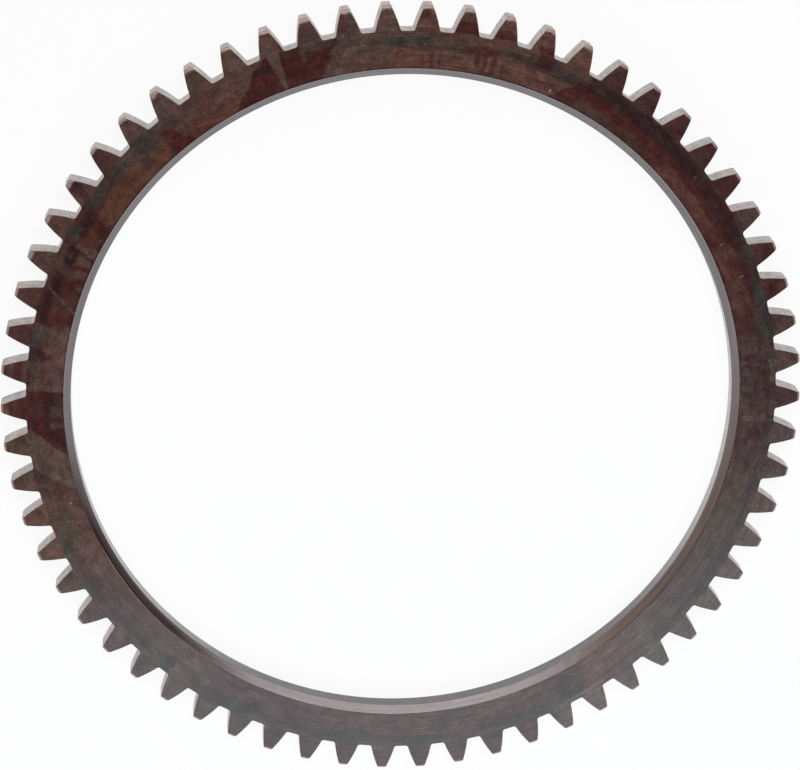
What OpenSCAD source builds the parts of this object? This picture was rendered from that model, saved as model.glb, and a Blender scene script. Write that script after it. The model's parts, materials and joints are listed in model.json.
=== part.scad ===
// Starter ring gear: a flat steel ring with straight involute teeth on its rim.
// It lies on its rear face with the gear axis along +Z and a tooth centred on +X.

/* [Teeth] */
// Number of teeth round the ring
tooth_count = 62; // [50:1:90]
// Module: pitch diameter over number of teeth, mm
tooth_module = 3.175; // [2.5:0.005:4]
// Pressure angle of the flanks, degrees
pressure_angle = 20; // [18:0.5:25]
// Tooth height outside the pitch circle, in modules
addendum_factor = 1; // [0.8:0.05:1.05]
// Tooth depth inside the pitch circle, in modules
dedendum_factor = 1; // [0.95:0.05:1.25]
// Amount each tooth is thinned at the pitch circle for backlash, mm
tooth_thinning = 0.53; // [0.1:0.01:0.8]
// Radius of the fillet between flank and root, mm
root_fillet = 0.7; // [0.3:0.05:0.9]
// Chamfer on the tooth tips at the front face, mm
front_tip_chamfer = 0.6; // [0.2:0.05:1.2]
// Edge break on the tooth tips at the rear face, mm
rear_tip_chamfer = 0.35; // [0.1:0.05:1.2]

/* [Ring] */
// Width of the ring along its axis, mm
ring_width = 6.35; // [4:0.05:16]
// Radial wall between the bore and the tooth roots, mm
rim_wall = 11.1; // [5:0.1:20]
// Lead-in chamfer of the bore at the front face, mm
front_bore_chamfer = 1.75; // [0.5:0.05:2.5]
// Edge break of the bore at the rear face, mm
rear_bore_chamfer = 0.4; // [0.1:0.05:1.2]

/* [Hidden] */
$fn = 180;
tooth_pitch = 360 / tooth_count;
pitch_r = tooth_module * tooth_count / 2;
base_r = pitch_r * cos(pressure_angle);
tip_r = pitch_r + addendum_factor * tooth_module;
root_r = pitch_r - dedendum_factor * tooth_module;
bore_r = root_r - rim_wall;
// The cutter of a tooth space stands out past the blank by this much
cut_overrun = 1;
flank_steps = 6;
fillet_steps = 4;

function to_degrees(a) = a * 180 / PI;

function on_circle(r, a) = [r * cos(a), r * sin(a)];

// Involute angle in degrees for a pressure angle in degrees
function involute(a) = to_degrees(tan(a)) - a;

// Half the angle of a tooth space at radius r
function half_space(r) =
    tooth_pitch / 4
    + to_degrees(tooth_thinning / 2 / pitch_r)
    - involute(pressure_angle)
    + involute(acos(base_r / r));

// The fillet centre lies on the involute that runs parallel to the flank
fillet_centre_r = root_r + root_fillet;
fillet_centre_a = half_space(fillet_centre_r) - to_degrees(root_fillet / base_r);
fillet_centre = on_circle(fillet_centre_r, fillet_centre_a);

// The line of the flank normal through that centre touches the base circle
normal_length = sqrt(pow(fillet_centre_r, 2) - pow(base_r, 2));
flank_start_r = sqrt(pow(base_r, 2) + pow(normal_length - root_fillet, 2));
flank_start = on_circle(flank_start_r, half_space(flank_start_r));
flank_end_r = tip_r + cut_overrun;

// The fillet turns from the root circle round to the flank
fillet_from = fillet_centre_a - 180;
flank_side = flank_start - fillet_centre;
fillet_to = atan2(flank_side[1], flank_side[0]);
fillet_turn = (fillet_to - fillet_from + 540) % 360 - 180;

// One side of a tooth space, from the middle of the root out past the tip
space_side = concat(
    [for (i = [0 : fillet_steps - 1])
        fillet_centre + on_circle(root_fillet, fillet_from + fillet_turn * i / fillet_steps)],
    [for (i = [0 : flank_steps])
        let (r = flank_start_r + (flank_end_r - flank_start_r) * i / flank_steps)
        on_circle(r, half_space(r))]
);

module tooth_space() {
    last = len(space_side) - 1;
    polygon(concat(
        space_side,
        [for (i = [last : -1 : 0]) [space_side[i][0], -space_side[i][1]]]
    ));
}

// Turned blank: bore, faces and tip cylinder with their chamfers
module blank() {
    rotate_extrude()
        polygon([
            [bore_r + rear_bore_chamfer, 0],
            [tip_r - rear_tip_chamfer, 0],
            [tip_r, rear_tip_chamfer],
            [tip_r, ring_width - front_tip_chamfer],
            [tip_r - front_tip_chamfer, ring_width],
            [bore_r + front_bore_chamfer, ring_width],
            [bore_r, ring_width - front_bore_chamfer],
            [bore_r, rear_bore_chamfer]
        ]);
}

module ring_gear() {
    color([0.29, 0.22, 0.20])
        difference() {
            blank();
            for (i = [0 : tooth_count - 1])
                rotate([0, 0, (i + 0.5) * tooth_pitch])
                    translate([0, 0, -cut_overrun])
                        linear_extrude(height = ring_width + 2 * cut_overrun)
                            tooth_space();
        }
}

ring_gear();
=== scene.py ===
"""Starter ring gear, dressed: one toothed steel ring that lies on a pale floor.

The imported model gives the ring's size, bore and tooth count. The ring is modelled again here
with rounded edges, and its faces, teeth and bore get their finishes. Lengths are metres, and
the places of the finishes are millimetres and degrees on the ring.
"""

import json
import math
from typing import NamedTuple

import bmesh
import bpy
from bpy.props import FloatProperty, FloatVectorProperty, IntProperty, PointerProperty
from mathutils import Matrix, Vector


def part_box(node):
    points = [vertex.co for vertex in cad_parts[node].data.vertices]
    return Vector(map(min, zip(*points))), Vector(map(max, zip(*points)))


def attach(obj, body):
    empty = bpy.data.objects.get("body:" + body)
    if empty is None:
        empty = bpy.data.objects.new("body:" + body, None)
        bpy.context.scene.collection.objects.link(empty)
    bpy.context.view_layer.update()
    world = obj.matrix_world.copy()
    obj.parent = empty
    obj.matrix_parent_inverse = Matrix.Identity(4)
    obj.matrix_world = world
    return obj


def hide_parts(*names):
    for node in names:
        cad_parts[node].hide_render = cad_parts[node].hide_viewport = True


bl_info = {
    "name": "Starter Ring Gear",
    "version": (1, 0, 0),
    "blender": (4, 5, 0),
    "location": "View3D > Sidebar > Ring Gear",
    "description": "Models a toothed steel ring with oxide faces and a turned bore",
    "category": "Object",
}

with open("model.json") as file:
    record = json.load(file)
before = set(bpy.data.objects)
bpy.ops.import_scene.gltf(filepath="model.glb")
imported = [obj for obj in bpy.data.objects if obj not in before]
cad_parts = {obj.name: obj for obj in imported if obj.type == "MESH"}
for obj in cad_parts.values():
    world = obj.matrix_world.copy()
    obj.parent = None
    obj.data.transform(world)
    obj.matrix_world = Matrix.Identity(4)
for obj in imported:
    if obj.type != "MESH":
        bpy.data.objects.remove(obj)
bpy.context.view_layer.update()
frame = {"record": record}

MM = 0.001
NODE = "ring_gear"
BODY = "root"
MOUNTS = {mount["name"]: mount["dims"] for mount in frame["record"]["mounts"]}
LOWEST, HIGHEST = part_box(NODE)

# Material slots of the ring mesh, in order
FACE, TEETH, BORE = range(3)

# Points closer together than this are merged
MERGE_DISTANCE = 0.001 * MM
# Edges that turn by more than this are rounded
SHARP_TURN = math.radians(25)
# A face whose normal rises by more than this is flat
FLAT_NORMAL = 0.95
# Relief of the tool marks
MARK_DEPTH = 0.02 * MM

WHITE = (1.0, 1.0, 1.0, 1.0)
DIM_GREY = (0.10, 0.10, 0.105, 1.0)
# Share of the floor's look that stays white where the ring shades it
FLOOR_GLOW = 0.9
FLOOR_HALF_SIDE = 4.0
SENSOR_MM = 36.0

# Radii in millimetres: the root and bore ends of a wipe, and the middle of the face
ROOT_MM = 95.25
BORE_MM = 86.0
MIDDLE_MM = 90.0

# A wipe with a smaller blur strays little, and one with a shorter reach keeps to its radii
CRISP_BLUR = 0.25
NARROW_REACH = 1.5
# How far the edges of wipes stray, in degrees and millimetres, and their blur along the radius
CRISP_STRAY = 0.35
RAGGED_STRAY = 2.4
RADIUS_STRAY = 2.2
RADIUS_BLUR = 0.4


class Wipe(NamedTuple):
    """A stroke in the film of the front face, between two leaning edges and two radii"""

    strength: float
    root: tuple
    bore: tuple
    reach: tuple = (84.0, 103.0)
    blur: float = 0.15


# Strokes listed tint by tint. FILMS lie under the heat band, and WIPES over it.
# Edges are degrees round the ring from +X, first at the root and then at the bore.
FILMS = {
    "oxide_red": (
        Wipe(0.75, (11.2, 60.9), (11.2, 66.3), (84.0, 90.8)),
        Wipe(0.75, (24.0, 60.9), (2.0, 66.3), (90.4, 103.0)),
        Wipe(0.50, (62.0, 91.0), (62.0, 91.0), (95.0, 103.0), 0.5),
        Wipe(0.95, (146.0, 166.3), (147.5, 166.0), (84.0, 95.2), 0.8),
    ),
    "oxide_brown": (
        Wipe(0.50, (14.5, 26.0), (15.5, 27.0), (86.5, 91.5), 1.2),
        Wipe(0.55, (27.5, 41.5), (29.5, 45.0), (84.0, 89.5), 2.0),
        Wipe(0.90, (60.9, 98.0), (66.3, 102.0)),
        Wipe(0.90, (146.0, 178.5), (146.0, 178.5), (95.6, 103.0), 0.4),
        Wipe(0.32, (166.3, 177.4), (166.0, 177.4), (84.0, 94.5), 0.3),
        Wipe(0.50, (182.8, 189.6), (188.5, 194.6), blur=0.12),
        Wipe(0.45, (189.6, 199.0), (194.6, 201.0), blur=0.3),
        Wipe(0.75, (198.0, 208.0), (200.0, 212.0), blur=1.5),
    ),
    "oxide_orange": (
        Wipe(0.58, (115.0, 136.0), (118.0, 136.0), (84.0, 90.0), 0.8),
        Wipe(0.55, (134.0, 146.5), (131.0, 147.5), (84.0, 91.8), 0.8),
    ),
    "film_mauve": (
        Wipe(0.90, (-9.0, 11.2), (-9.0, 11.2), (84.0, 90.8)),
        Wipe(0.85, (-9.0, 24.0), (-9.0, 2.0), (90.4, 96.0)),
        Wipe(0.55, (-9.0, 62.0), (-9.0, 62.0), (95.0, 103.0), 0.5),
        Wipe(0.40, (136.0, 178.5), (136.0, 178.5), (95.2, 103.0), 0.4),
        Wipe(0.62, (208.0, 352.0), (212.0, 352.0), blur=1.5),
        Wipe(0.75, (350.0, 369.0), (352.0, 369.0), blur=1.0),
    ),
    "wiped_grey_and_sheen": (
        Wipe(0.35, (3.0, 14.5), (3.0, 14.5), (95.6, 103.0), 0.5),
        Wipe(0.40, (27.4, 30.8), (27.4, 30.8), (96.0, 103.0), 0.4),
        Wipe(0.52, (91.0, 136.0), (91.0, 136.0), (95.2, 103.0), 0.5),
        Wipe(0.40, (111.8, 134.5), (119.1, 136.0), (90.0, 96.0), 0.2),
        # Painted sheen: this wipe lightens the face at the lower left, beside the panel's reflection
        Wipe(0.30, (203.0, 229.0), (205.0, 230.0), (84.0, 95.0), 2.0),
        Wipe(0.60, (295.0, 357.0), (295.0, 357.0), (95.2, 103.0), 0.5),
    ),
}
WIPES = {
    "oxide_red": (
        Wipe(0.45, (6.4, 7.6), (6.6, 7.4), (87.5, 91.0), 0.3),
        Wipe(0.65, (15.8, 19.4), (15.8, 19.4), (95.8, 99.2), 0.3),
        Wipe(0.60, (20.6, 24.2), (20.6, 24.2), (88.2, 92.0), 0.5),
        Wipe(0.65, (26.0, 60.5), (26.0, 62.5), (90.0, 92.0), 0.8),
        Wipe(0.55, (33.4, 36.6), (33.4, 36.6), (96.0, 100.6), 0.5),
        Wipe(0.50, (44.4, 48.0), (44.4, 48.0), (96.4, 98.8), 0.5),
        Wipe(0.80, (67.3, 70.2), (67.4, 70.0), (91.8, 97.0), 0.3),
        Wipe(0.70, (74.0, 77.3), (74.0, 77.3), (95.6, 98.0), 0.4),
        Wipe(0.55, (74.4, 75.2), (74.5, 75.1), (87.2, 90.0), 0.2),
        Wipe(0.75, (75.6, 81.4), (75.6, 81.4), (90.6, 92.8), 0.6),
        Wipe(0.75, (75.9, 76.9), (75.9, 76.8), (86.8, 91.6), 0.2),
        Wipe(0.65, (77.4, 78.1), (77.5, 78.0), (87.0, 92.4), 0.2),
        Wipe(0.65, (78.6, 79.4), (78.7, 79.3), (88.0, 92.8), 0.2),
        Wipe(0.95, (79.0, 83.0), (79.0, 83.0), (95.4, 98.5), 0.4),
        Wipe(0.45, (80.4, 81.0), (80.4, 80.9), (90.0, 93.0), 0.2),
        Wipe(0.55, (84.6, 85.2), (84.7, 85.1), (86.4, 89.6), 0.15),
        Wipe(0.60, (86.0, 86.5), (86.0, 86.5), (86.4, 90.2), 0.15),
        Wipe(0.60, (86.8, 89.2), (86.8, 89.2), (98.6, 103.0), 0.3),
        Wipe(0.50, (87.4, 88.0), (87.4, 87.9), (86.4, 89.0), 0.15),
        Wipe(0.50, (98.8, 101.0), (98.8, 101.0), (95.8, 101.0), 0.3),
        Wipe(0.90, (100.4, 111.8), (104.0, 119.1), (84.0, 95.2), 0.12),
        Wipe(0.60, (108.6, 111.8), (108.6, 111.8), (99.8, 103.0), 0.3),
        Wipe(0.90, (130.6, 131.0), (126.6, 131.0), (86.0, 92.6), 0.3),
        Wipe(0.65, (134.2, 135.6), (134.2, 136.2), (88.0, 91.0), 0.4),
        Wipe(0.45, (134.6, 139.4), (135.4, 139.0), (88.3, 90.3), 0.5),
        Wipe(0.28, (138.0, 139.0), (142.5, 144.0), (86.5, 91.5), 0.4),
        Wipe(0.55, (158.4, 162.0), (159.4, 162.6), (88.2, 91.0), 0.4),
        Wipe(0.35, (160.4, 164.0), (160.4, 164.0), (95.8, 99.4), 0.4),
        Wipe(0.40, (166.6, 170.2), (166.6, 170.2), (96.6, 101.0), 0.5),
        Wipe(0.85, (170.6, 172.4), (171.2, 171.7), (90.0, 93.5), 0.3),
        Wipe(0.75, (172.2, 176.0), (172.2, 176.0), (96.8, 98.6), 0.3),
        Wipe(1.00, (177.2, 182.8), (177.4, 188.5), (84.0, 96.8), 0.1),
        Wipe(0.75, (177.4, 182.4), (177.4, 182.4), (95.0, 99.6), 0.3),
        Wipe(0.35, (189.6, 193.8), (194.6, 198.6), (84.0, 95.6), 0.2),
        Wipe(0.50, (189.8, 192.6), (191.6, 193.4), (91.6, 95.6), 0.6),
    ),
    "oxide_dark": (
        Wipe(0.18, (0.5, 25.0), (0.5, 25.0), (88.6, 93.6), 1.0),
        Wipe(0.35, (5.8, 9.2), (5.8, 9.2), (90.0, 92.2), 0.4),
        Wipe(0.80, (8.0, 196.0), (8.0, 196.0), (85.0, 86.3), 4.0),
        Wipe(0.75, (25.0, 61.0), (25.0, 62.5), (91.2, 94.7), 0.8),
        Wipe(0.60, (61.5, 73.0), (62.5, 73.5), (91.0, 92.9), 0.6),
        Wipe(0.75, (110.9, 113.0), (110.6, 116.5), (91.4, 93.6), 0.4),
        Wipe(0.35, (119.0, 130.0), (119.0, 130.0), (91.4, 93.8), 1.0),
        Wipe(0.75, (144.5, 151.5), (144.5, 151.5), (90.4, 93.9), 0.6),
        Wipe(0.95, (152.6, 157.0), (153.0, 159.0), (90.6, 93.0), 0.5),
        Wipe(0.95, (157.0, 160.4), (157.6, 162.0), (91.2, 93.8), 0.4),
        Wipe(0.60, (161.0, 166.4), (161.0, 166.4), (92.4, 94.4), 0.4),
        Wipe(0.70, (170.2, 172.6), (170.6, 172.4), (91.6, 95.4), 0.3),
        Wipe(0.50, (178.4, 183.0), (178.4, 187.0), (85.0, 91.0), 1.0),
        Wipe(0.45, (184.6, 186.4), (186.0, 188.0), (96.0, 98.6), 0.3),
        Wipe(0.30, (189.6, 191.2), (194.6, 196.4), (84.0, 95.6), 0.2),
        Wipe(0.40, (199.0, 252.0), (199.0, 252.0), (91.4, 93.5), 2.0),
        Wipe(0.45, (227.5, 230.0), (228.0, 231.0), (91.5, 93.5), 0.6),
        Wipe(0.55, (239.0, 249.0), (239.0, 250.0), (90.6, 94.0), 1.0),
        Wipe(0.50, (248.0, 300.0), (248.0, 300.0), (92.4, 93.8), 2.0),
        Wipe(0.50, (304.0, 335.0), (304.0, 335.0), (85.0, 86.4), 2.0),
        Wipe(0.85, (305.0, 312.5), (296.0, 312.5), (91.6, 95.2), 0.5),
        Wipe(0.50, (314.0, 362.0), (314.0, 362.0), (92.7, 93.8), 2.0),
        Wipe(0.55, (346.0, 349.6), (346.0, 349.4), (89.3, 90.5), 0.5),
        Wipe(0.50, (350.2, 352.0), (350.2, 352.0), (91.6, 94.5), 0.4),
    ),
    "heat_band": (
        Wipe(0.60, (9.5, 13.6), (9.8, 13.2), (92.0, 95.6), 0.5),
        Wipe(0.70, (14.6, 18.6), (14.8, 18.4), (92.6, 95.4), 0.4),
        Wipe(0.50, (22.0, 25.0), (22.0, 25.0), (93.8, 95.6), 0.4),
        Wipe(0.60, (62.5, 67.5), (63.5, 67.8), (90.6, 93.6), 0.4),
        Wipe(0.50, (70.5, 75.4), (70.5, 75.4), (90.7, 93.4), 0.6),
        Wipe(0.60, (80.6, 83.2), (80.6, 83.2), (92.0, 94.4), 0.4),
        Wipe(0.50, (80.8, 98.0), (80.8, 98.0), (90.7, 93.4), 0.6),
        Wipe(0.80, (86.4, 88.8), (86.4, 88.8), (91.6, 93.8), 0.4),
        Wipe(0.80, (90.6, 93.4), (90.6, 93.4), (91.2, 93.8), 0.4),
        Wipe(0.65, (131.0, 136.6), (131.6, 136.0), (90.4, 95.6), 0.7),
        Wipe(0.55, (137.2, 141.2), (139.0, 142.6), (92.0, 94.2), 0.4),
        Wipe(0.75, (142.4, 146.2), (142.6, 146.2), (92.2, 93.6), 0.4),
        Wipe(0.85, (149.6, 152.0), (149.8, 152.2), (92.2, 95.6), 0.3),
        Wipe(0.70, (167.4, 169.8), (167.6, 169.6), (92.8, 95.4), 0.4),
        Wipe(0.60, (184.6, 189.4), (185.6, 190.4), (92.4, 95.6), 0.4),
        Wipe(0.50, (198.0, 200.4), (198.4, 200.8), (92.4, 94.2), 0.5),
        Wipe(0.55, (210.0, 213.6), (210.0, 213.6), (92.2, 94.6), 0.5),
        Wipe(0.55, (240.0, 247.0), (240.5, 247.5), (92.0, 94.8), 0.8),
        Wipe(0.60, (270.0, 275.4), (270.0, 275.4), (92.8, 94.2), 0.6),
        Wipe(0.60, (294.6, 298.0), (294.6, 298.0), (92.0, 93.8), 0.5),
        Wipe(0.45, (329.0, 333.0), (329.5, 333.0), (92.0, 94.4), 0.6),
    ),
    "oxide_brown": (
        Wipe(0.40, (112.0, 127.5), (118.5, 127.5), (90.0, 96.0), 0.3),
        Wipe(0.45, (182.8, 189.6), (188.5, 194.6), (84.0, 95.8), 0.12),
        Wipe(0.40, (283.0, 289.0), (283.0, 289.0), (87.5, 90.5), 0.8),
        Wipe(0.50, (301.0, 311.0), (303.0, 315.4), (84.0, 95.0), 0.3),
    ),
    "oxide_orange": (
        Wipe(0.50, (16.2, 18.8), (16.2, 18.8), (99.2, 103.0), 0.3),
        Wipe(0.70, (140.6, 146.4), (140.6, 146.6), (86.5, 90.6), 0.6),
        Wipe(0.40, (147.5, 150.5), (150.5, 154.0), (87.0, 91.5), 0.6),
        Wipe(0.30, (162.5, 165.5), (163.5, 166.0), (87.0, 92.0), 0.5),
        Wipe(0.45, (194.5, 200.5), (195.0, 200.0), (89.0, 94.5), 1.0),
        Wipe(0.50, (195.4, 199.2), (195.4, 199.2), (95.6, 103.0), 0.4),
    ),
    "film_olive": (
        Wipe(0.25, (46.0, 60.0), (47.0, 62.0), (84.0, 88.5), 1.5),
        Wipe(0.42, (182.8, 189.6), (188.5, 194.6), (84.0, 95.6), 0.12),
        Wipe(0.45, (184.5, 195.0), (184.5, 195.0), (95.5, 103.0), 0.8),
        Wipe(0.62, (197.0, 203.6), (197.6, 204.4), (88.2, 94.2), 1.0),
        Wipe(0.35, (316.0, 326.0), (316.0, 326.0), (88.0, 93.0), 1.5),
        Wipe(0.45, (328.0, 346.0), (328.0, 348.0), (86.0, 91.5), 2.0),
    ),
    "wiped_grey_and_sheen": (
        Wipe(0.45, (0.7, 1.4), (0.9, 1.9), (86.4, 89.8), 0.2),
        Wipe(0.80, (2.6, 6.2), (2.6, 6.2), (93.6, 95.6), 0.3),
        Wipe(0.40, (3.7, 5.0), (3.8, 5.1), (86.4, 88.8), 0.2),
        Wipe(0.50, (4.6, 5.3), (5.9, 6.5), (86.4, 91.2), 0.2),
        Wipe(0.35, (7.6, 9.2), (7.6, 9.6), (86.4, 91.0), 0.2),
        Wipe(0.30, (55.5, 60.5), (56.0, 62.0), (86.0, 88.6), 0.8),
        Wipe(0.40, (92.6, 97.0), (92.6, 97.0), (88.0, 90.2), 0.5),
        Wipe(0.55, (94.5, 100.4), (100.5, 104.0), (86.0, 95.6), 0.6),
        Wipe(0.50, (101.6, 106.2), (101.6, 106.2), (93.3, 95.6), 0.3),
        Wipe(0.55, (105.3, 106.3), (106.0, 106.3), (91.5, 94.0), 0.2),
        Wipe(0.72, (109.3, 111.2), (109.8, 110.2), (86.3, 96.0), 0.12),
        Wipe(0.60, (125.3, 125.7), (126.7, 127.0), (86.2, 90.0), 0.15),
        Wipe(0.60, (151.8, 153.0), (152.2, 153.4), (86.0, 91.8), 0.25),
        Wipe(0.45, (152.8, 156.2), (152.8, 156.2), (93.6, 95.2), 0.3),
        Wipe(0.70, (153.8, 155.3), (153.9, 155.4), (86.6, 90.0), 0.35),
        Wipe(0.28, (155.0, 157.6), (158.0, 159.4), (89.5, 95.4), 0.3),
        Wipe(0.50, (156.3, 157.3), (156.3, 157.4), (86.6, 89.6), 0.3),
        Wipe(0.45, (158.6, 159.4), (158.5, 159.4), (86.4, 88.2), 0.3),
        Wipe(0.85, (159.8, 160.1), (163.2, 163.7), (86.2, 94.6), 0.1),
        Wipe(0.45, (166.6, 169.0), (166.9, 169.6), (84.0, 93.6), 0.2),
        Wipe(0.50, (169.3, 170.2), (170.2, 171.2), (84.0, 91.8), 0.2),
        Wipe(0.36, (173.0, 176.6), (171.6, 177.3), (84.0, 94.2), 0.15),
        Wipe(0.60, (176.0, 176.8), (176.4, 177.3), (84.0, 93.6), 0.15),
        Wipe(0.45, (180.3, 181.8), (180.0, 181.5), (86.2, 88.8), 0.3),
        Wipe(0.45, (182.6, 183.8), (182.3, 183.6), (86.2, 89.0), 0.3),
        Wipe(0.20, (182.8, 189.6), (188.5, 194.6), (84.0, 95.6), 0.1),
        Wipe(0.50, (188.8, 189.6), (193.2, 194.6), (84.0, 94.5), 0.12),
        Wipe(0.35, (209.0, 241.0), (209.0, 241.0), (95.6, 103.0), 0.6),
        Wipe(0.45, (225.0, 228.0), (225.0, 228.0), (92.5, 96.0), 0.8),
        Wipe(0.55, (229.5, 232.5), (231.0, 234.0), (88.0, 95.0), 0.8),
        Wipe(0.50, (235.4, 237.0), (234.5, 236.5), (86.5, 92.5), 0.8),
        Wipe(0.75, (295.5, 304.5), (295.5, 304.5), (93.8, 95.4), 0.4),
        Wipe(0.40, (310.5, 314.0), (315.4, 318.5), (84.0, 95.5), 0.3),
        Wipe(0.30, (338.0, 343.0), (338.0, 343.0), (93.8, 95.4), 0.4),
        Wipe(0.40, (355.8, 356.7), (356.0, 356.8), (86.8, 94.0), 0.25),
    ),
    "pale_speck": (
        Wipe(0.35, (14.4, 14.6), (14.4, 14.6), (92.9, 93.3), 0.08),
        Wipe(0.45, (20.6, 20.8), (20.6, 20.8), (90.0, 91.4), 0.08),
        Wipe(0.25, (26.9, 27.1), (26.9, 27.1), (88.9, 90.0), 0.08),
        Wipe(0.35, (38.6, 38.8), (38.6, 38.8), (92.3, 92.7), 0.08),
        Wipe(1.80, (66.2, 66.5), (66.2, 66.5), (87.4, 87.7), 0.08),
        Wipe(0.70, (196.6, 196.9), (196.6, 196.9), (88.4, 88.8), 0.08),
    ),
    "flank_film_and_highlight": (
        # Painted highlight: the face's outer rim at the top is made pale beside the lit tip chamfers
        Wipe(0.75, (62.0, 160.0), (62.0, 160.0), (100.7, 103.0), 3.0),
    ),
}


def length(label, words, value):
    """A length property in metres."""
    return FloatProperty(name=label, description=words, default=value, unit="LENGTH", precision=5)


def angle(label, words, degrees):
    """An angle property, given in degrees."""
    return FloatProperty(name=label, description=words, default=math.radians(degrees), subtype="ANGLE")


def colour(label, words, rgb):
    """A linear colour property."""
    return FloatVectorProperty(
        name=label, description=words, default=rgb, subtype="COLOR", size=3, min=0.0, max=1.0
    )


class RingGearSizes(bpy.types.PropertyGroup):
    """Sizes of the toothed ring"""

    tooth_count: IntProperty(
        name="Teeth", description="Number of teeth", default=MOUNTS["pinion_mesh"]["count"]
    )
    pitch_radius: length(
        "Pitch radius", "Circle on which the pinion rolls", MOUNTS["pinion_mesh"]["pcd_mm"] * MM / 2
    )
    tip_radius: length("Tip radius", "Outside of the teeth", HIGHEST.x)
    bore_radius: length("Bore radius", "Wall that presses on the rim", MOUNTS["bore"]["r_mm"] * MM)
    width: length("Width", "Width of the ring along its axis", HIGHEST.z - LOWEST.z)
    pressure_angle: angle("Pressure angle", "Slope of the flanks at the pitch circle", 20)
    tooth_thinning: length("Tooth thinning", "Backlash taken off each tooth", 0.53 * MM)
    root_fillet: length("Root fillet", "Radius between flank and root", 0.7 * MM)
    front_tip_chamfer: length("Front tip chamfer", "Chamfer on the tips at the front", 0.6 * MM)
    rear_tip_chamfer: length("Rear tip chamfer", "Edge break on the tips at the rear", 0.35 * MM)
    front_bore_chamfer: length("Front bore chamfer", "Lead-in of the bore", 1.75 * MM)
    rear_bore_chamfer: length("Rear bore chamfer", "Edge break of the bore at the rear", 0.4 * MM)
    edge_rounding: length("Edge rounding", "Rounding left on every cut edge", 0.12 * MM)


class RingGearFinish(bpy.types.PropertyGroup):
    """Colours of the ring's surfaces"""

    oxide_red: colour("Red oxide", "Oil-soaked film on the faces", (0.054, 0.0100, 0.0090))
    oxide_dark: colour("Dark oxide", "Thickest film on the faces", (0.024, 0.0085, 0.0085))
    oxide_brown: colour("Brown oxide", "Thinner film on the faces", (0.118, 0.0525, 0.039))
    oxide_orange: colour("Orange oxide", "Rusty film near the bore", (0.108, 0.041, 0.024))
    film_mauve: colour("Mauve film", "Oily film with a grey cast", (0.054, 0.026, 0.025))
    film_olive: colour("Olive film", "Oily film with a yellow cast", (0.062, 0.044, 0.024))
    # Also the colour of a painted sheen on the face at the lower left
    wiped_grey_and_sheen: colour("Wiped grey", "Strokes where the film was wiped off", (0.104, 0.066, 0.056))
    heat_band: colour("Heat band", "Scale left below the teeth by hardening", (0.038, 0.034, 0.027))
    pale_speck: colour("Pale speck", "Small chips in the film", (0.36, 0.31, 0.28))
    bare_steel: colour("Bare steel", "Cut metal of the teeth", (0.44, 0.415, 0.395))
    # Also the colour of a painted highlight on the front face's outer rim at the top
    flank_film_and_highlight: colour("Flank film", "Thin oxide on the flanks beside the front face", (0.47, 0.34, 0.30))
    tip_film: colour("Tip film", "Oxide on the front chamfer of the tips", (0.27, 0.19, 0.17))
    turned_steel: colour("Turned steel", "Turned metal of the bore", (0.210, 0.191, 0.195))
    # Colour of the painted reflection on the bore wall at the left and right sides
    painted_wall_sheen: colour("Rubbed steel", "Wall of the bore where it is rubbed bright", (0.47, 0.49, 0.475))
    # Also the colour of a painted highlight along the bore's front edge at the lower left
    worn_edge_highlight: colour("Worn edge", "Edge of the bore where the film rubbed off", (0.47, 0.36, 0.305))
    bore_film: colour("Bore film", "Thin brown oxide on the bore's chamfer", (0.150, 0.104, 0.088))
    bore_stain: colour("Bore stain", "Oxide left on the bore's chamfer", (0.028, 0.011, 0.010))


class RingGearStage(bpy.types.PropertyGroup):
    """Floor and camera"""

    floor_colour: colour("Floor", "Plain pale floor", (0.97, 0.93, 0.92))
    view_tilt: angle("Tilt", "Lean of the view away from the gear axis", 17.848)
    view_yaw: angle("Yaw", "Sideways lean of the view", 4.339)
    view_roll: angle("Roll", "Turn of the ring in the picture", -0.488)
    view_distance: length("Distance", "Camera to the front face", 723.04 * MM)
    view_right: length("Right", "Place of the axis right of the picture's middle", 1.12 * MM)
    view_up: length("Up", "Place of the axis above the picture's middle", -4.5 * MM)
    lens: FloatProperty(name="Lens", description="Focal length in mm", default=128.39, unit="CAMERA")


# Ring mesh


def on_circle(radius, turn):
    """Point on a circle round the gear axis."""
    return Vector((radius * math.cos(turn), radius * math.sin(turn), 0.0))


def involute(pressure):
    """Involute function of a pressure angle."""
    return math.tan(pressure) - pressure


def steps(count):
    """Even fractions from 0 to 1 in count steps."""
    return [i / count for i in range(count + 1)]


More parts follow.
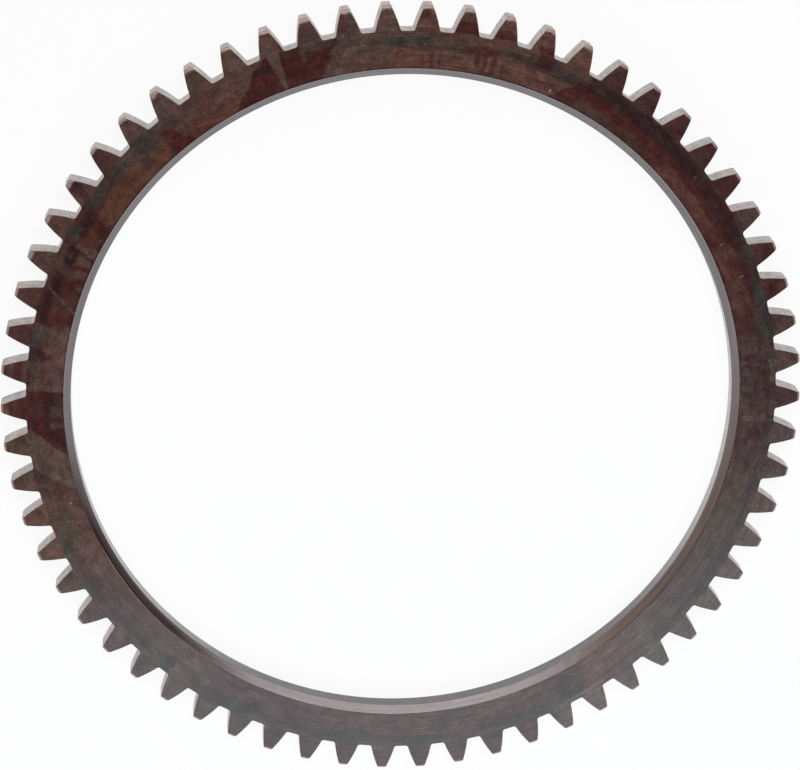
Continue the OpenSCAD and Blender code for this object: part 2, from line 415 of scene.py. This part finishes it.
def half_tooth_outline(sizes):
    """Half of a tooth and the rim under it, from the tooth's middle to that of the space."""
    base_radius = sizes.pitch_radius * math.cos(sizes.pressure_angle)
    root_radius = 2 * sizes.pitch_radius - sizes.tip_radius
    half_pitch = math.pi / sizes.tooth_count

    def flank_turn(radius):
        thinned = sizes.tooth_thinning / (2 * sizes.pitch_radius)
        pressure = math.acos(base_radius / radius)
        return half_pitch / 2 - thinned + involute(sizes.pressure_angle) - involute(pressure)

    # The fillet's centre lies on the involute that runs parallel to the flank
    centre_radius = root_radius + sizes.root_fillet
    centre_turn = flank_turn(centre_radius) + sizes.root_fillet / base_radius
    centre = on_circle(centre_radius, centre_turn)
    normal_length = math.sqrt(centre_radius**2 - base_radius**2) - sizes.root_fillet
    flank_radius = math.hypot(base_radius, normal_length)
    flank_start = on_circle(flank_radius, flank_turn(flank_radius)) - centre
    fillet_from = centre_turn + math.pi
    fillet_sweep = math.atan2(flank_start.y, flank_start.x) - fillet_from
    fillet_sweep = (fillet_sweep + math.pi) % (2 * math.pi) - math.pi

    rim = [on_circle(sizes.bore_radius, half_pitch * f) for f in steps(2)]
    root = [on_circle(root_radius, half_pitch + (centre_turn - half_pitch) * f) for f in steps(2)]
    fillet = [centre + on_circle(sizes.root_fillet, fillet_from + fillet_sweep * f) for f in steps(4)]
    radii = [flank_radius + (sizes.tip_radius - flank_radius) * f for f in steps(6)]
    flank = [on_circle(radius, flank_turn(radius)) for radius in radii]
    tip_middle = on_circle(sizes.tip_radius, 0.0)
    return rim + root + fillet[1:] + flank[1:] + [tip_middle]


def everything(mesh):
    """All faces, edges and vertices of a mesh."""
    return mesh.faces[:] + mesh.edges[:] + mesh.verts[:]


def edges_on_circle(mesh, radius, height):
    """Edges that run along a circle round the gear axis."""
    near = 0.01 * MM

    def lies_there(vert):
        return abs(vert.co.z - height) < near and abs(vert.co.xy.length - radius) < near

    return [edge for edge in mesh.edges if all(lies_there(vert) for vert in edge.verts)]


def bevel(mesh, edges, offset, segments):
    """Cut or round edges by an offset."""
    bmesh.ops.bevel(
        mesh, geom=edges, offset=offset, offset_type="OFFSET", segments=segments, profile=0.5,
        affect="EDGES", material=-1, clamp_overlap=False, loop_slide=True,
    )


def assign_slots(mesh, sizes):
    """Give each face the material slot of its finish."""
    bore_side = sizes.bore_radius + sizes.front_bore_chamfer
    for face in mesh.faces:
        if abs(face.normal.z) > FLAT_NORMAL:
            face.material_index = FACE
        elif face.calc_center_median().xy.length < bore_side:
            face.material_index = BORE
        else:
            face.material_index = TEETH


def ring_mesh(sizes):
    """Toothed ring: half a tooth is mirrored, spun round the axis, raised and bevelled."""
    mesh = bmesh.new()
    mesh.faces.new([mesh.verts.new(point) for point in half_tooth_outline(sizes)])
    bmesh.ops.mirror(mesh, geom=everything(mesh), axis="Y", merge_dist=MERGE_DISTANCE)
    copies = sizes.tooth_count - 1
    bmesh.ops.spin(
        mesh, geom=everything(mesh), axis=(0, 0, 1), cent=(0, 0, 0),
        angle=2 * math.pi * copies / sizes.tooth_count, steps=copies, use_duplicate=True,
    )
    bmesh.ops.remove_doubles(mesh, verts=mesh.verts[:], dist=MERGE_DISTANCE)
    raised = bmesh.ops.extrude_face_region(mesh, geom=mesh.faces[:], use_keep_orig=True)["geom"]
    top = [item for item in raised if isinstance(item, bmesh.types.BMVert)]
    bmesh.ops.translate(mesh, verts=top, vec=(0, 0, sizes.width))
    bmesh.ops.recalc_face_normals(mesh, faces=mesh.faces[:])

    for radius, height, chamfer in (
        (sizes.bore_radius, sizes.width, sizes.front_bore_chamfer),
        (sizes.bore_radius, 0.0, sizes.rear_bore_chamfer),
        (sizes.tip_radius, sizes.width, sizes.front_tip_chamfer),
        (sizes.tip_radius, 0.0, sizes.rear_tip_chamfer),
    ):
        bevel(mesh, edges_on_circle(mesh, radius, height), chamfer, 1)

    assign_slots(mesh, sizes)
    sharp = [edge for edge in mesh.edges if edge.calc_face_angle(0.0) > SHARP_TURN]
    bevel(mesh, sharp, sizes.edge_rounding, 2)
    for face in mesh.faces:
        face.smooth = True
    return mesh


# Shader nodes


def empty_tree(owner):
    """Node tree of a material or world, with nothing in it."""
    owner.use_nodes = True
    owner.node_tree.nodes.clear()
    return owner.node_tree


def add_node(tree, kind, inputs=None, **settings):
    """Add a shader node, set its options, and link or fill its inputs."""
    made = tree.nodes.new(kind)
    for name, value in settings.items():
        setattr(made, name, value)
    for key, value in (inputs or {}).items():
        if isinstance(value, bpy.types.NodeSocket):
            tree.links.new(value, made.inputs[key])
        else:
            made.inputs[key].default_value = value
    return made


def math_node(tree, operation, *values):
    """Result of a math node."""
    return add_node(tree, "ShaderNodeMath", dict(enumerate(values)), operation=operation).outputs[0]


def product(tree, first, *others):
    """Product of several values."""
    for other in others:
        first = math_node(tree, "MULTIPLY", first, other)
    return first


def vector_node(tree, operation, first, second=None, scale=None):
    """Result of a vector math node."""
    inputs = {0: first}
    if second is not None:
        inputs[1] = second
    if scale is not None:
        inputs["Scale"] = scale
    made = add_node(tree, "ShaderNodeVectorMath", inputs, operation=operation)
    return made.outputs["Value" if operation in {"LENGTH", "DOT_PRODUCT"} else "Vector"]


def ramp(tree, value, low, high, to_low=0.0, to_high=1.0):
    """Smooth step of a value from to_low at low to to_high at high."""
    inputs = {"Value": value, "From Min": low, "From Max": high, "To Min": to_low, "To Max": to_high}
    made = add_node(tree, "ShaderNodeMapRange", inputs, interpolation_type="SMOOTHSTEP", clamp=False)
    return made.outputs["Result"]


def window(tree, value, rise, fall):
    """Mask that rises and falls by smooth steps, each given by its two ends."""
    return product(tree, ramp(tree, value, *rise), ramp(tree, value, *fall, 1.0, 0.0))


def noise(tree, vector, scale, detail=3.0, roughness=0.5, distortion=0.0):
    """Noise value between about 0 and 1."""
    inputs = {
        "Vector": vector,
        "Scale": scale,
        "Detail": detail,
        "Roughness": roughness,
        "Distortion": distortion,
    }
    return add_node(tree, "ShaderNodeTexNoise", inputs).outputs["Fac"]


def blend(tree, factor, first, second, mode="MIX"):
    """Mix of two colours, by the node's factor and colour sockets."""
    inputs = {0: factor, 6: first, 7: second}
    made = add_node(tree, "ShaderNodeMix", inputs, data_type="RGBA", blend_type=mode, clamp_factor=True)
    return made.outputs[2]


def opaque(rgb):
    """A property colour with full alpha."""
    return (*rgb, 1.0)


def coat(tree, tint, cover, rgb):
    """A tint with a plain colour laid over it where the cover says."""
    return blend(tree, cover, tint, opaque(rgb))


def shaded(tree, tint, pattern, spread, depth):
    """A tint made darker and lighter by up to depth, by a pattern that spreads round 0.5."""
    shade = ramp(tree, pattern, 0.5 - spread, 0.5 + spread, 1.0 - depth, 1.0 + depth)
    return blend(tree, 1.0, tint, shade, "MULTIPLY")


class RingCoordinates:
    """Coordinates on the ring in millimetres and degrees, counted from +X."""

    def __init__(self, tree):
        place = add_node(tree, "ShaderNodeTexCoord").outputs["Object"]
        self.tree = tree
        self.place = vector_node(tree, "SCALE", place, scale=1.0 / MM)
        flat = vector_node(tree, "MULTIPLY", self.place, (1.0, 1.0, 0.0))
        self.radius = vector_node(tree, "LENGTH", flat)
        self.turn = vector_node(tree, "NORMALIZE", flat)
        sides = add_node(tree, "ShaderNodeSeparateXYZ", {0: self.turn}).outputs
        self.right, self.up = sides["X"], sides["Y"]
        parts = add_node(tree, "ShaderNodeSeparateXYZ", {0: self.place}).outputs
        self.height = parts["Z"]
        radians = math_node(tree, "ARCTAN2", parts["Y"], parts["X"])
        degrees = math_node(tree, "DEGREES", radians)
        self.degrees = math_node(tree, "FLOORED_MODULO", degrees, 360.0)

    def towards(self, degrees):
        """Value that is 1 in one direction from the axis and falls to -1 in the opposite one."""
        turn = math.radians(degrees)
        direction = (math.cos(turn), math.sin(turn), 0.0)
        return vector_node(self.tree, "DOT_PRODUCT", self.turn, direction)

    def swept(self, around, across, slant=0.0, distance=None):
        """Vector for a pattern that runs round the ring, in lines of equal distance.

        The distance is the radius, unless another is given, and the pattern leans by slant
        radians for each millimetre of radius.
        """
        turn = self.turn
        if slant:
            off_middle = math_node(self.tree, "SUBTRACT", self.radius, MIDDLE_MM)
            inputs = {"Vector": turn, "Angle": product(self.tree, off_middle, slant)}
            leaning = add_node(self.tree, "ShaderNodeVectorRotate", inputs, rotation_type="Z_AXIS")
            turn = leaning.outputs[0]
        ring = vector_node(self.tree, "SCALE", turn, scale=around)
        distance = self.radius if distance is None else distance
        rise = product(self.tree, distance, across)
        axis = add_node(self.tree, "ShaderNodeCombineXYZ", {"Z": rise}).outputs[0]
        return vector_node(self.tree, "ADD", ring, axis)


def new_material(name):
    """Material with a shader and an output, and its node tree and shader."""
    material = bpy.data.materials.new(name)
    tree = empty_tree(material)
    shader = add_node(tree, "ShaderNodeBsdfPrincipled")
    add_node(tree, "ShaderNodeOutputMaterial", {"Surface": shader.outputs[0]})
    return material, tree, shader


def dress(tree, shader, tint, roughness, marks, strength):
    """Give a shader its colour and roughness, and the relief of its tool marks."""
    inputs = {"Height": marks, "Strength": strength, "Distance": MARK_DEPTH}
    relief = add_node(tree, "ShaderNodeBump", inputs).outputs[0]
    tree.links.new(tint, shader.inputs["Base Color"])
    tree.links.new(roughness, shader.inputs["Roughness"])
    tree.links.new(relief, shader.inputs["Normal"])


# Oxide faces


def wipe_mask():
    """Node group that masks the area between two leaning edges and two radii."""
    group = bpy.data.node_groups.get("wipe_mask")
    if group:
        return group
    group = bpy.data.node_groups.new("wipe_mask", "ShaderNodeTree")
    names = ("Degrees", "Radius", "Start", "Start Lean", "End", "End Lean", "Low", "High", "Blur")
    for name in names:
        group.interface.new_socket(name, in_out="INPUT", socket_type="NodeSocketFloat")
    group.interface.new_socket("Mask", in_out="OUTPUT", socket_type="NodeSocketFloat")
    given = add_node(group, "NodeGroupInput").outputs
    off_root = math_node(group, "SUBTRACT", given["Radius"], ROOT_MM)
    start = math_node(group, "MULTIPLY_ADD", off_root, given["Start Lean"], given["Start"])
    end = math_node(group, "MULTIPLY_ADD", off_root, given["End Lean"], given["End"])
    before = product(group, given["Blur"], -1.0)
    past_start = math_node(group, "SUBTRACT", given["Degrees"], start)
    short_of_end = math_node(group, "SUBTRACT", end, given["Degrees"])
    above = math_node(group, "SUBTRACT", given["Radius"], given["Low"])
    below = math_node(group, "SUBTRACT", given["High"], given["Radius"])
    mask = product(
        group,
        ramp(group, past_start, before, given["Blur"]),
        ramp(group, short_of_end, before, given["Blur"]),
        ramp(group, above, -RADIUS_BLUR, RADIUS_BLUR),
        ramp(group, below, -RADIUS_BLUR, RADIUS_BLUR),
    )
    add_node(group, "NodeGroupOutput", {"Mask": mask})
    return group


def wiped_film(tree, ring, finish, film, wipes, fade):
    """Lay the wipes of one tint after the other over the film."""
    group = wipe_mask()
    waver = math_node(tree, "SUBTRACT", noise(tree, ring.place, 0.30, 3.0, 0.6), 0.5)
    drift = math_node(tree, "SUBTRACT", noise(tree, ring.place, 0.35, 3.0, 0.6, 0.4), 0.5)
    crisp = math_node(tree, "MULTIPLY_ADD", waver, CRISP_STRAY, ring.degrees)
    ragged = math_node(tree, "MULTIPLY_ADD", waver, RAGGED_STRAY, ring.degrees)
    rough_radius = math_node(tree, "MULTIPLY_ADD", drift, RADIUS_STRAY, ring.radius)
    span = ROOT_MM - BORE_MM
    for tint, strokes in wipes.items():
        cover = 0.0
        for wipe in strokes:
            low, high = wipe.reach
            inputs = {
                "Degrees": crisp if wipe.blur < CRISP_BLUR else ragged,
                "Radius": rough_radius if high - low > NARROW_REACH else ring.radius,
                "Start": wipe.root[0],
                "Start Lean": (wipe.root[0] - wipe.bore[0]) / span,
                "End": wipe.root[1],
                "End Lean": (wipe.root[1] - wipe.bore[1]) / span,
                "Low": low,
                "High": high,
                "Blur": wipe.blur,
            }
            mask = add_node(tree, "ShaderNodeGroup", inputs, node_tree=group).outputs["Mask"]
            cover = math_node(tree, "MAXIMUM", product(tree, mask, wipe.strength), cover)
        film = coat(tree, film, product(tree, cover, fade), getattr(finish, tint))
    return film


def faint_strokes(tree, ring, front):
    """Mask of strokes all over, which are faint on the front where the larger wipes lie."""
    wide = ramp(tree, noise(tree, ring.swept(100.0, 0.25, 0.010), 0.065, 1.5, 0.4), 0.53, 0.555)
    leaning = ramp(tree, noise(tree, ring.swept(100.0, 0.25, -0.009), 0.075, 1.5, 0.4), 0.57, 0.595)
    thin = ramp(tree, noise(tree, ring.swept(100.0, 0.12, 0.004), 0.35, 2.0, 0.5), 0.62, 0.68)
    strokes = math_node(tree, "MAXIMUM", math_node(tree, "MAXIMUM", wide, leaning), thin)
    streaks = noise(tree, ring.swept(100.0, 0.06, 0.006), 0.8, 3.0, 0.6)
    streaks = ramp(tree, streaks, 0.3, 0.7, 0.35, 0.95)
    return product(tree, strokes, streaks, ramp(tree, front, 0.0, 1.0, 1.0, 0.3))


def band_under_teeth(tree, ring, front):
    """Mask of the ragged band of scale under the teeth, which is weaker on the front."""
    ragged = math_node(tree, "MULTIPLY_ADD", noise(tree, ring.place, 0.12, 4.0, 0.6), 5.0, ring.radius)
    inner_edge = ramp(tree, ragged, 93.6, 96.2)
    outer_edge = ramp(tree, ring.radius, 94.2, 96.0, 1.0, 0.0)
    strength = ramp(tree, noise(tree, ring.place, 0.07, 4.0, 0.6), 0.36, 0.64, 0.15, 0.95)
    return product(tree, inner_edge, outer_edge, strength, ramp(tree, front, 0.0, 1.0, 1.0, 0.7))


def lined_film(tree, ring, film, lines):
    """Film with turning lines, which show most at the top and bottom of the ring."""
    kept = ramp(tree, noise(tree, ring.place, 0.05, 3.0, 0.6), 0.42, 0.60, 0.35, 1.0)
    under_teeth = ramp(tree, ring.radius, 94.5, 96.5, 1.0, 0.5)
    off_sides = ramp(tree, math_node(tree, "ABSOLUTE", ring.up), 0.6, 0.95, 0.4, 1.0)
    calm_part = ramp(tree, ring.towards(132.0), 0.86, 0.96, 1.0, 0.35)
    depth = product(tree, kept, under_teeth, off_sides, calm_part)
    return blend(tree, depth, film, shaded(tree, film, lines, 0.25, 0.60))


def small_marks(tree, ring, finish, film):
    """Film with pits at the right, grime, scuffs at the lower right, and pale specks."""
    pits = ramp(tree, noise(tree, ring.place, 1.0, 2.0, 0.5), 0.57, 0.64, 0.0, 0.75)
    pitted = window(tree, ring.radius, (91.0, 92.8), (95.2, 96.2))
    pits = product(tree, pits, pitted, ramp(tree, ring.right, 0.93, 0.985))
    film = coat(tree, film, pits, finish.oxide_dark)
    film = shaded(tree, film, noise(tree, ring.place, 0.7, 4.0, 0.65, 1.6), 0.25, 0.36)
    scuffs = noise(tree, ring.swept(12.0, 3.4), 1.0, 3.0, 0.6)
    scuffed = ramp(tree, ring.towards(296.6), 0.298, 0.696)
    film = blend(tree, scuffed, film, shaded(tree, film, scuffs, 0.25, 0.48))
    cells = add_node(tree, "ShaderNodeTexVoronoi", {"Vector": ring.place, "Scale": 0.20}).outputs
    chance = add_node(tree, "ShaderNodeSeparateColor", {0: cells["Color"]}).outputs[0]
    specks = ramp(tree, cells["Distance"], 0.035, 0.060, 0.35, 0.0)
    return coat(tree, film, product(tree, specks, ramp(tree, chance, 0.70, 0.72)), finish.pale_speck)


def oxide_face(finish, sizes):
    """Flat faces: oily oxide film, wiped strokes, turning lines and the heat band under the teeth."""
    material, tree, shader = new_material("oxide_face")
    ring = RingCoordinates(tree)
    middle = sizes.width / MM / 2
    front = ramp(tree, ring.height, middle - 0.2, middle + 0.2)

    clouds = ramp(tree, noise(tree, ring.place, 0.045, 5.0, 0.62, 0.6), 0.38, 0.64)
    film = blend(tree, clouds, opaque(finish.oxide_red), opaque(finish.oxide_brown))
    thick = ramp(tree, noise(tree, ring.place, 0.08, 5.0, 0.6), 0.50, 0.70, 0.0, 0.75)
    film = coat(tree, film, thick, finish.oxide_dark)
    film = coat(tree, film, faint_strokes(tree, ring, front), finish.wiped_grey_and_sheen)

    patchy = ramp(tree, noise(tree, ring.place, 0.22, 4.0, 0.65), 0.28, 0.55, 0.72, 1.0)
    patchy = product(tree, front, patchy)
    film = wiped_film(tree, ring, finish, film, FILMS, patchy)
    scale = blend(tree, thick, opaque(finish.heat_band), opaque(finish.oxide_dark))
    film = blend(tree, band_under_teeth(tree, ring, front), film, scale)
    film = wiped_film(tree, ring, finish, film, WIPES, patchy)

    olive = ramp(tree, noise(tree, ring.place, 0.20, 4.0, 0.6), 0.54, 0.74, 0.0, 0.40)
    film = coat(tree, film, olive, finish.film_olive)
    film = shaded(tree, film, noise(tree, ring.swept(24.0, 0.50), 1.0, 4.0, 0.6, 0.3), 0.22, 0.26)
    lines = noise(tree, ring.swept(7.0, 1.8), 1.0, 4.0, 0.7)
    film = lined_film(tree, ring, film, lines)
    film = small_marks(tree, ring, finish, film)

    roughness = ramp(tree, noise(tree, ring.place, 0.28, 5.0, 0.65), 0.30, 0.70, 0.13, 0.26)
    shader.inputs["IOR"].default_value = 1.5
    dress(tree, shader, film, roughness, lines, 0.2)
    return material


# Cut teeth and turned bore


def cut_teeth(finish, sizes):
    """Flanks and tips: cut metal with fine marks along the teeth, and oxide towards the front."""
    material, tree, shader = new_material("cut_teeth")
    ring = RingCoordinates(tree)
    tip = sizes.tip_radius / MM
    front = sizes.width / MM
    stretched = vector_node(tree, "MULTIPLY", ring.place, (2.5, 2.5, 0.12))
    marks = noise(tree, stretched, 1.0, 3.0, 0.6)
    steel = shaded(tree, opaque(finish.bare_steel), marks, 0.25, 0.15)
    smudges = ramp(tree, noise(tree, ring.place, 0.5, 4.0, 0.65), 0.42, 0.72, 0.0, 0.45)
    steel = coat(tree, steel, smudges, finish.oxide_brown)

    ragged = math_node(tree, "MULTIPLY_ADD", noise(tree, ring.place, 0.8, 3.0, 0.6), 1.6, ring.height)
    flanks = ramp(tree, ragged, front - 1.15, front + 0.65, 0.0, 0.55)
    steel = coat(tree, steel, flanks, finish.flank_film_and_highlight)
    lands = ramp(tree, ring.radius, tip - 0.4, tip - 0.1)
    lands = product(tree, lands, ramp(tree, ragged, front - 2.75, front + 0.25, 0.0, 0.6))
    steel = coat(tree, steel, lands, finish.flank_film_and_highlight)
    chamfers = ramp(tree, ring.radius, tip - 0.8, tip - 0.5)
    chamfers = product(tree, chamfers, ramp(tree, ring.height, front - 0.75, front - 0.45, 0.0, 0.8))
    steel = coat(tree, steel, chamfers, finish.tip_film)

    roughness = ramp(tree, noise(tree, ring.place, 0.6, 3.0), 0.3, 0.7, 0.32, 0.45)
    shader.inputs["Metallic"].default_value = 1.0
    dress(tree, shader, steel, roughness, marks, 0.3)
    return material


def stained_chamfer(tree, ring, finish, sizes, steel, lathe, chamfer):
    """Steel with a brown film, dark streaks, a darker lower left and a worn edge with a painted highlight
    on the bore's front chamfer.
    """
    foot = (sizes.width - sizes.front_bore_chamfer) / MM
    rim = (sizes.bore_radius + sizes.front_bore_chamfer) / MM
    waver = math_node(tree, "SUBTRACT", noise(tree, ring.place, 0.12, 4.0, 0.6), 0.5)
    turn = math_node(tree, "MULTIPLY_ADD", waver, 7.0, ring.degrees)
    # Degrees counted from the left, for the parts that cross +X
    off_left = math_node(tree, "FLOORED_MODULO", math_node(tree, "ADD", turn, 180.0), 360.0)
    smears = ramp(tree, noise(tree, lathe, 0.45, 4.0, 0.7), 0.25, 0.60, 0.50, 1.0)

    brown_part = product(tree, window(tree, off_left, (114.0, 132.0), (160.0, 194.0)), chamfer)
    steel = coat(tree, steel, product(tree, brown_part, smears), finish.bore_film)
    streaks = ramp(tree, noise(tree, lathe, 0.9, 4.0, 0.7), 0.50, 0.66, 0.0, 0.75)
    streaks = product(tree, streaks, window(tree, off_left, (126.0, 144.0), (156.0, 170.0)))
    steel = coat(tree, steel, product(tree, brown_part, streaks), finish.bore_stain)

    # The chamfer is darker between about 180 and 244 degrees, most towards the front face
    lower_left_part = window(tree, turn, (180.0, 206.0), (224.0, 244.0))
    outwards = ramp(tree, ring.height, foot, foot + 1.0, 0.72, 1.0)
    darkening = product(tree, lower_left_part, smears, chamfer, outwards)
    steel = coat(tree, steel, darkening, finish.bore_stain)
    # Partly wear and partly painted highlight: a pale orange line along the chamfer's outer edge at the
    # lower left
    worn_glint = window(tree, turn, (203.0, 208.0), (230.0, 236.0))
    worn_glint = product(tree, worn_glint, ramp(tree, ring.radius, rim - 0.18, rim - 0.04, 0.0, 0.8))
    return coat(tree, steel, worn_glint, finish.worn_edge_highlight)


def turned_bore(finish, sizes):
    """Bore wall and its chamfers: turned metal, with painted reflection at the sides, stained at the
    front.
    """
    material, tree, shader = new_material("turned_bore")
    ring = RingCoordinates(tree)
    foot = (sizes.width - sizes.front_bore_chamfer) / MM
    lathe = ring.swept(3.0, 5.0, distance=math_node(tree, "ADD", ring.height, ring.radius))
    lines = noise(tree, lathe, 1.0, 3.0, 0.6)
    steel = shaded(tree, opaque(finish.turned_steel), lines, 0.25, 0.25)
    chamfer = ramp(tree, ring.height, foot - 0.3, foot + 0.1)
    steel = blend(tree, 1.0, steel, ramp(tree, chamfer, 0.0, 1.0, 0.84, 1.0), "MULTIPLY")
    # Painted reflection: the wall is made brighter towards the left and right sides of the ring
    painted_sheen_right = ramp(tree, ring.right, 0.7, 1.05, 0.0, 0.9)
    painted_sheen_left = ramp(tree, ring.right, -0.88, -0.46, 0.60, 0.0)
    painted = math_node(tree, "MAXIMUM", painted_sheen_right, painted_sheen_left)
    painted = product(tree, painted, ramp(tree, chamfer, 0.0, 1.0, 0.95, 0.0))
    steel = coat(tree, steel, painted, finish.painted_wall_sheen)
    steel = stained_chamfer(tree, ring, finish, sizes, steel, lathe, chamfer)

    roughness = ramp(tree, noise(tree, ring.place, 0.4, 3.0), 0.3, 0.7, 0.26, 0.38)
    shader.inputs["Metallic"].default_value = 1.0
    dress(tree, shader, steel, roughness, lines, 0.3)
    return material


# Stage


def pale_floor(stage):
    """Floor that shows white to the eye and in reflections, and keeps the ring's shadow."""
    material = bpy.data.materials.new("pale_floor")
    tree = empty_tree(material)
    path = add_node(tree, "ShaderNodeLightPath").outputs
    seen = math_node(tree, "MAXIMUM", path["Is Camera Ray"], path["Is Glossy Ray"])
    seen = math_node(tree, "MAXIMUM", seen, path["Is Transmission Ray"])
    lit = add_node(tree, "ShaderNodeBsdfDiffuse", {"Color": opaque(stage.floor_colour)})
    white = add_node(tree, "ShaderNodeEmission", {"Color": WHITE, "Strength": 1.0})
    inputs = {0: product(tree, seen, FLOOR_GLOW), 1: lit.outputs[0], 2: white.outputs[0]}
    mixed = add_node(tree, "ShaderNodeMixShader", inputs)
    add_node(tree, "ShaderNodeOutputMaterial", {"Surface": mixed.outputs[0]})
    return material


def studio_world():
    """Backdrop that is white to the eye and in reflections, below a dark ceiling."""
    world = bpy.data.worlds.new("studio")
    tree = empty_tree(world)
    path = add_node(tree, "ShaderNodeLightPath").outputs
    towards = add_node(tree, "ShaderNodeTexCoord").outputs["Generated"]
    rise = add_node(tree, "ShaderNodeSeparateXYZ", {0: towards}).outputs["Z"]
    reflected = math_node(tree, "MAXIMUM", path["Is Glossy Ray"], path["Is Transmission Ray"])
    backdrop = product(tree, reflected, ramp(tree, rise, 0.45, 0.75, 1.0, 0.0))
    seen = math_node(tree, "MAXIMUM", path["Is Camera Ray"], backdrop)
    dim = add_node(tree, "ShaderNodeBackground", {"Color": DIM_GREY})
    white = add_node(tree, "ShaderNodeBackground", {"Color": WHITE})
    mixed = add_node(tree, "ShaderNodeMixShader", {0: seen, 1: dim.outputs[0], 2: white.outputs[0]})
    add_node(tree, "ShaderNodeOutputWorld", {"Surface": mixed.outputs[0]})
    return world


def add_object(name, data):
    """New object linked to the scene."""
    made = bpy.data.objects.new(name, data)
    bpy.context.scene.collection.objects.link(made)
    return made


def add_softbox(name, place, target, size, radiance, tint=(1.0, 1.0, 1.0)):
    """Area light that looks at a target, with its brightness given as radiance."""
    light = bpy.data.lights.new(name, "AREA")
    light.shape = "RECTANGLE"
    light.size, light.size_y = size
    light.color = tint
    light.energy = radiance * math.pi * size[0] * size[1]
    holder = add_object(name, light)
    holder.location = place
    holder.rotation_euler = (Vector(target) - Vector(place)).to_track_quat("-Z", "Y").to_euler()


# Operators and panel


class RINGGEAR_OT_make_ring(bpy.types.Operator):
    """Model the toothed ring and give it its finishes"""

    bl_idname = "ringgear.make_ring"
    bl_label = "Make Ring"

    def execute(self, context):
        sizes = context.scene.ring_gear_sizes
        finish = context.scene.ring_gear_finish
        data = bpy.data.meshes.new("toothed_ring")
        built = ring_mesh(sizes)
        built.to_mesh(data)
        built.free()
        for make_finish in (oxide_face, cut_teeth, turned_bore):
            data.materials.append(make_finish(finish, sizes))
        ring = add_object("toothed_ring", data)
        normals = ring.modifiers.new("flat_faces", "WEIGHTED_NORMAL")
        normals.weight = 100
        normals.keep_sharp = True
        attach(ring, BODY)
        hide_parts(NODE)
        return {"FINISHED"}


class RINGGEAR_OT_make_stage(bpy.types.Operator):
    """Set the floor, lights and camera"""

    bl_idname = "ringgear.make_stage"
    bl_label = "Make Stage"

    def execute(self, context):
        stage = context.scene.ring_gear_stage
        width = context.scene.ring_gear_sizes.width
        self.add_floor(stage)
        self.add_lights()
        context.scene.world = studio_world()
        self.add_camera(context.scene, stage, width)
        context.scene.view_settings.view_transform = "Standard"
        return {"FINISHED"}

    def add_floor(self, stage):
        """Add the pale floor under the ring."""
        mesh = bmesh.new()
        bmesh.ops.create_grid(mesh, x_segments=1, y_segments=1, size=FLOOR_HALF_SIDE)
        data = bpy.data.meshes.new("floor")
        mesh.to_mesh(data)
        mesh.free()
        data.materials.append(pale_floor(stage))
        floor = add_object("floor", data)

    def add_lights(self):
        """Add the key light, a panel that the lower face mirrors, and one for the upper rim."""
        add_softbox(
            "key_softbox", place=(0.1, 0.75, 1.25), target=(0, 0, 0), size=(1.2, 0.9), radiance=2.95
        )
        add_softbox(
            "sheen_panel", place=(0.068, -0.456, 0.39), target=(0.041, -0.216, 0), size=(0.9, 0.5),
            radiance=2.45, tint=(0.80, 0.94, 1.0),
        )
        add_softbox(
            "rim_panel", place=(0.0, 1.15, 0.55), target=(0, 0, 0), size=(2.0, 0.8),
            radiance=0.82, tint=(1.0, 0.93, 0.915),
        )

    def add_camera(self, scene, stage, width):
        """Add the camera that looks down on the front face."""
        data = bpy.data.cameras.new("camera")
        data.sensor_width = SENSOR_MM
        data.sensor_fit = "HORIZONTAL"
        data.lens = stage.lens
        camera = add_object("camera", data)
        turned = (
            Matrix.Rotation(stage.view_tilt, 3, "X")
            @ Matrix.Rotation(stage.view_yaw, 3, "Y")
            @ Matrix.Rotation(stage.view_roll, 3, "Z")
        )
        to_world = turned.transposed()
        offset = Vector((-stage.view_right, -stage.view_up, stage.view_distance))
        place = to_world @ offset + Vector((0, 0, width))
        camera.matrix_world = Matrix.Translation(place) @ to_world.to_4x4()
        scene.camera = camera


class RINGGEAR_PT_panel(bpy.types.Panel):
    """Sizes, colours and buttons of the ring gear"""

    bl_idname = "RINGGEAR_PT_panel"
    bl_label = "Ring Gear"
    bl_space_type = "VIEW_3D"
    bl_region_type = "UI"
    bl_category = "Ring Gear"

    def draw(self, context):
        for group in (
            context.scene.ring_gear_sizes,
            context.scene.ring_gear_finish,
            context.scene.ring_gear_stage,
        ):
            box = self.layout.box()
            for name in group.__annotations__:
                box.prop(group, name)
        for operator in (RINGGEAR_OT_make_ring, RINGGEAR_OT_make_stage):
            self.layout.operator(operator.bl_idname)


CLASSES = (
    RingGearSizes,
    RingGearFinish,
    RingGearStage,
    RINGGEAR_OT_make_ring,
    RINGGEAR_OT_make_stage,
    RINGGEAR_PT_panel,
)


def register():
    """Register the classes and hang their properties on the scene."""
    for entry in CLASSES:
        bpy.utils.register_class(entry)
    bpy.types.Scene.ring_gear_sizes = PointerProperty(type=RingGearSizes)
    bpy.types.Scene.ring_gear_finish = PointerProperty(type=RingGearFinish)
    bpy.types.Scene.ring_gear_stage = PointerProperty(type=RingGearStage)


def unregister():
    """Take the properties and classes away again."""
    del bpy.types.Scene.ring_gear_stage
    del bpy.types.Scene.ring_gear_finish
    del bpy.types.Scene.ring_gear_sizes
    for entry in reversed(CLASSES):
        bpy.utils.unregister_class(entry)


def main():
    """Make the ring and its stage."""
    register()
    bpy.ops.ringgear.make_ring()
    bpy.ops.ringgear.make_stage()


if __name__ == "__main__":
    main()
